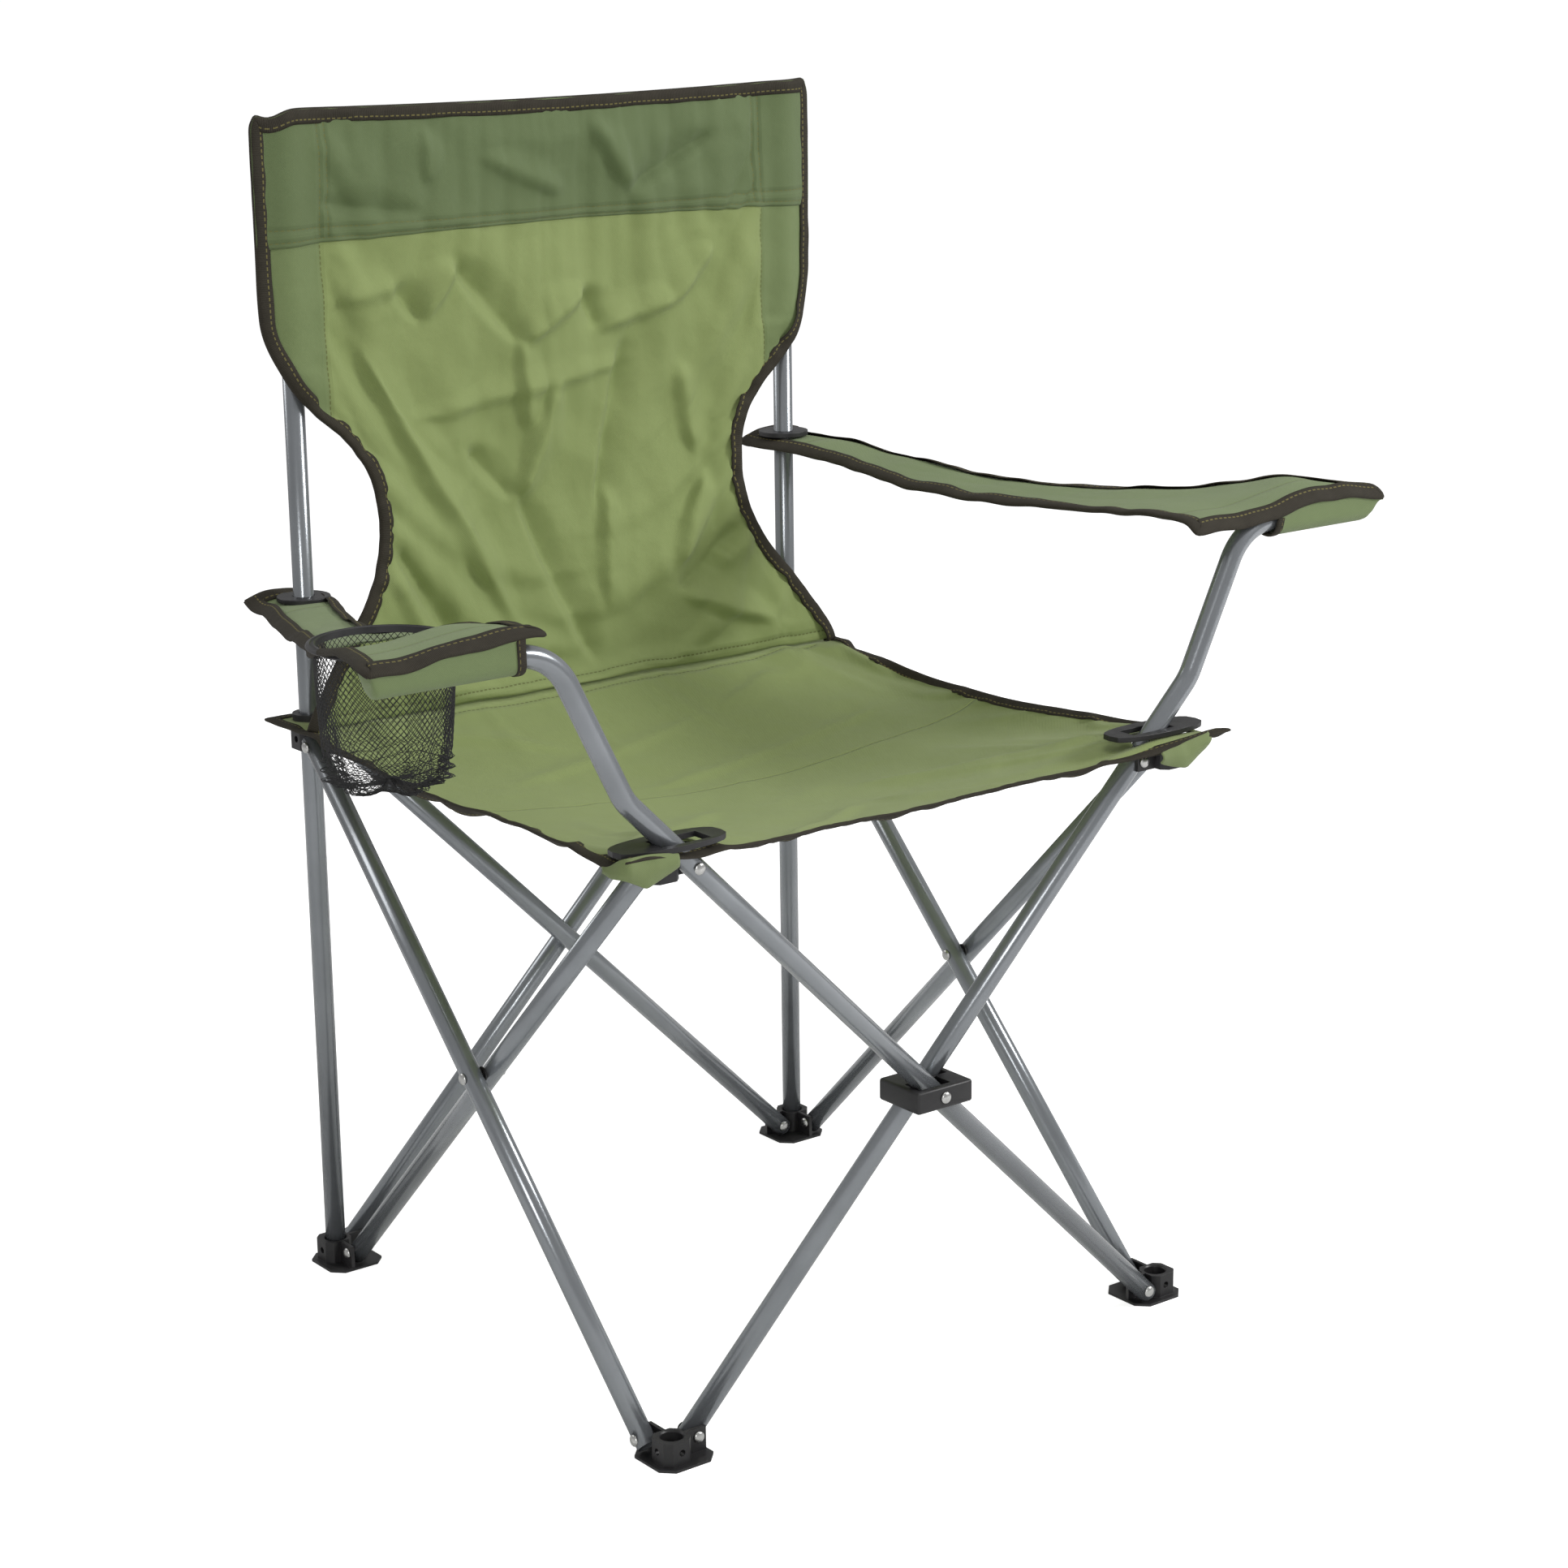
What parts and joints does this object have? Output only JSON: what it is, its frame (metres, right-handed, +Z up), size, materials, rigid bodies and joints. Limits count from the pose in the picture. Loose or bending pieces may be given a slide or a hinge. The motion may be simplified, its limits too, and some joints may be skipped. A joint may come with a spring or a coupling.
{
  "type": "folding camp chair",
  "caption": "Folding camp chair: scissor frame of bent and straight steel tube, cloth seat, back and slung armrests, and a net cup holder.",
  "frame": {"origin": "middle of the footprint, on the floor", "axes": "+Z up, the chair faces -Y, +X is to the right as seen from the front"},
  "size_m": [0.932, 0.521, 0.925],
  "materials": {
    "tube_paint": "satin",
    "black_plastic": "satin",
    "zinc": "bright",
    "cloth": "woven",
    "net": "knitted net"
  },
  "bodies": {
    "left_post": {"foot_rear_left": "black_plastic", "foot_rear_left_outer_rivet": "zinc", "foot_rear_left_inner_rivet": "zinc", "post_left": "tube_paint", "post_left_rivet": "zinc", "back_panel": "cloth"},
    "left_inner": {"left_inner_tube": "tube_paint"},
    "left_outer": {"left_outer_tube": "tube_paint", "left_spacer": "black_plastic", "left_crossing_rivet": "zinc"},
    "front_left_foot": {"foot_front_left": "black_plastic", "foot_front_left_outer_rivet": "zinc", "foot_front_left_inner_rivet": "zinc"},
    "left_slider": {"slider_left": "black_plastic", "slider_left_outer_rivet": "zinc", "slider_left_inner_rivet": "zinc", "seat_eyelet_left": "black_plastic"},
    "left_bracket": {"bracket_left": "black_plastic", "bracket_left_outer_rivet": "zinc", "bracket_left_inner_rivet": "zinc", "seat_plate_left": "black_plastic"},
    "back_outer": {"back_outer_tube": "tube_paint", "back_spacer": "black_plastic", "back_crossing_rivet": "zinc"},
    "back_inner": {"back_inner_tube": "tube_paint"},
    "right_post": {"foot_rear_right": "black_plastic", "foot_rear_right_outer_rivet": "zinc", "foot_rear_right_inner_rivet": "zinc", "post_right": "tube_paint", "post_right_rivet": "zinc"},
    "right_slider": {"slider_right": "black_plastic", "slider_right_outer_rivet": "zinc", "slider_right_inner_rivet": "zinc", "seat_eyelet_right": "black_plastic"},
    "right_outer": {"right_outer_tube": "tube_paint", "right_spacer": "black_plastic", "right_crossing_rivet": "zinc"},
    "right_inner": {"right_inner_tube": "tube_paint"},
    "front_right_foot": {"foot_front_right": "black_plastic", "foot_front_right_outer_rivet": "zinc", "foot_front_right_inner_rivet": "zinc"},
    "right_bracket": {"bracket_right": "black_plastic", "bracket_right_outer_rivet": "zinc", "bracket_right_inner_rivet": "zinc", "seat_plate_right": "black_plastic"},
    "front_outer": {"front_outer_tube": "tube_paint", "armrest_left": "cloth"},
    "front_inner": {"front_inner_tube": "tube_paint", "armrest_right": "cloth"},
    "front_hub": {"hub": "black_plastic", "hub_rivet": "zinc"},
    "seat_rear_half": {"seat_rear": "cloth"},
    "seat_front_half": {"seat_front": "cloth"},
    "left_arm_ring": {"arm_ring_left": "black_plastic"},
    "right_arm_ring": {"arm_ring_right": "black_plastic"},
    "cup_holder": {"cup_ring": "black_plastic", "cup_pocket": "net"}
  },
  "joints": [
    {"name": "fold", "type": "hinge", "parent": "left_post", "child": "left_inner", "pos_m": [-0.226, 0.213, 0.013], "axis": [-1, 0, 0], "range_deg": [0, 40], "deforming": ["back_panel", "seat_rear", "seat_front", "armrest_left", "armrest_right"]},
    {"name": "left_crossing", "type": "hinge", "parent": "left_inner", "child": "left_outer", "pos_m": [-0.235, 0, 0.226], "axis": [1, 0, 0], "range_deg": [0, 80]},
    {"name": "front_left_foot_pivot", "type": "hinge", "parent": "left_outer", "child": "front_left_foot", "pos_m": [-0.244, -0.213, 0.013], "axis": [-1, 0, 0], "range_deg": [0, 40]},
    {"name": "left_slider_pivot", "type": "hinge", "parent": "left_outer", "child": "left_slider", "pos_m": [-0.244, 0.213, 0.439], "axis": [-1, 0, 0], "range_deg": [0, 40]},
    {"name": "left_bracket_pivot", "type": "hinge", "parent": "left_inner", "child": "left_bracket", "pos_m": [-0.226, -0.213, 0.439], "axis": [1, 0, 0], "range_deg": [0, 40]},
    {"name": "back_outer_pivot", "type": "hinge", "parent": "left_post", "child": "back_outer", "pos_m": [-0.213, 0.244, 0.013], "axis": [0, -1, 0], "range_deg": [0, 40]},
    {"name": "back_crossing", "type": "hinge", "parent": "back_outer", "child": "back_inner", "pos_m": [0, 0.235, 0.226], "axis": [0, 1, 0], "range_deg": [0, 80]},
    {"name": "rear_right_foot_pivot", "type": "hinge", "parent": "back_inner", "child": "right_post", "pos_m": [0.213, 0.226, 0.013], "axis": [0, -1, 0], "range_deg": [0, 40]},
    {"name": "right_slider_pivot", "type": "hinge", "parent": "back_outer", "child": "right_slider", "pos_m": [0.213, 0.244, 0.439], "axis": [0, 1, 0], "range_deg": [0, 40]},
    {"name": "right_outer_pivot", "type": "hinge", "parent": "right_post", "child": "right_outer", "pos_m": [0.244, 0.213, 0.013], "axis": [-1, 0, 0], "range_deg": [0, 40]},
    {"name": "right_crossing", "type": "hinge", "parent": "right_outer", "child": "right_inner", "pos_m": [0.235, 0, 0.226], "axis": [1, 0, 0], "range_deg": [0, 80]},
    {"name": "front_right_foot_pivot", "type": "hinge", "parent": "right_inner", "child": "front_right_foot", "pos_m": [0.226, -0.213, 0.013], "axis": [-1, 0, 0], "range_deg": [0, 40]},
    {"name": "right_bracket_pivot", "type": "hinge", "parent": "right_outer", "child": "right_bracket", "pos_m": [0.244, -0.213, 0.439], "axis": [1, 0, 0], "range_deg": [0, 40]},
    {"name": "left_arm_pivot", "type": "hinge", "parent": "left_bracket", "child": "front_outer", "pos_m": [-0.213, -0.244, 0.439], "axis": [0, 1, 0], "range_deg": [0, 40]},
    {"name": "right_arm_pivot", "type": "hinge", "parent": "front_left_foot", "child": "front_inner", "pos_m": [-0.213, -0.226, 0.013], "axis": [0, -1, 0], "range_deg": [0, 40]},
    {"name": "hub_pivot", "type": "hinge", "parent": "front_outer", "child": "front_hub", "pos_m": [0, -0.235, 0.226], "axis": [0, -1, 0], "range_deg": [0, 40]},
    {"name": "seat_rear_edge", "type": "hinge", "parent": "left_slider", "child": "seat_rear_half", "pos_m": [0, 0.235, 0.4548], "axis": [1, 0, 0], "range_deg": [0, 78]},
    {"name": "seat_middle", "type": "hinge", "parent": "seat_rear_half", "child": "seat_front_half", "pos_m": [0, 0, 0.4548], "axis": [-1, 0, 0], "range_deg": [0, 156]},
    {"name": "left_arm_ring_slide", "type": "slide", "parent": "left_post", "child": "left_arm_ring", "axis": [0, 0, 1], "range_m": [0, 0.152]},
    {"name": "right_arm_ring_slide", "type": "slide", "parent": "right_post", "child": "right_arm_ring", "axis": [0, 0, 1], "range_m": [0, 0.085]},
    {"name": "cup_holder_slide", "type": "slide", "parent": "front_outer", "child": "cup_holder", "axis": [0, -0.985, -0.1725], "range_m": [0, 0.088]}
  ],
  "couplings": [
    {"joint": "left_crossing", "follows": "fold", "ratio": 2},
    {"joint": "front_left_foot_pivot", "follows": "fold", "ratio": 1},
    {"joint": "left_slider_pivot", "follows": "fold", "ratio": 1},
    {"joint": "left_bracket_pivot", "follows": "fold", "ratio": 1},
    {"joint": "back_outer_pivot", "follows": "fold", "ratio": 1},
    {"joint": "back_crossing", "follows": "fold", "ratio": 2},
    {"joint": "rear_right_foot_pivot", "follows": "fold", "ratio": 1},
    {"joint": "right_slider_pivot", "follows": "fold", "ratio": 1},
    {"joint": "right_outer_pivot", "follows": "fold", "ratio": 1},
    {"joint": "right_crossing", "follows": "fold", "ratio": 2},
    {"joint": "front_right_foot_pivot", "follows": "fold", "ratio": 1},
    {"joint": "right_bracket_pivot", "follows": "fold", "ratio": 1},
    {"joint": "left_arm_pivot", "follows": "fold", "ratio": 1},
    {"joint": "right_arm_pivot", "follows": "fold", "ratio": 1},
    {"joint": "hub_pivot", "follows": "fold", "ratio": 1},
    {"joint": "seat_rear_edge", "follows": "fold", "ratio": 1.95},
    {"joint": "seat_middle", "follows": "fold", "ratio": 3.9},
    {"joint": "left_arm_ring_slide", "follows": "fold", "m_per_rad": 0.21772},
    {"joint": "right_arm_ring_slide", "follows": "fold", "m_per_rad": 0.12175},
    {"joint": "cup_holder_slide", "follows": "fold", "m_per_rad": 0.12605}
  ]
}
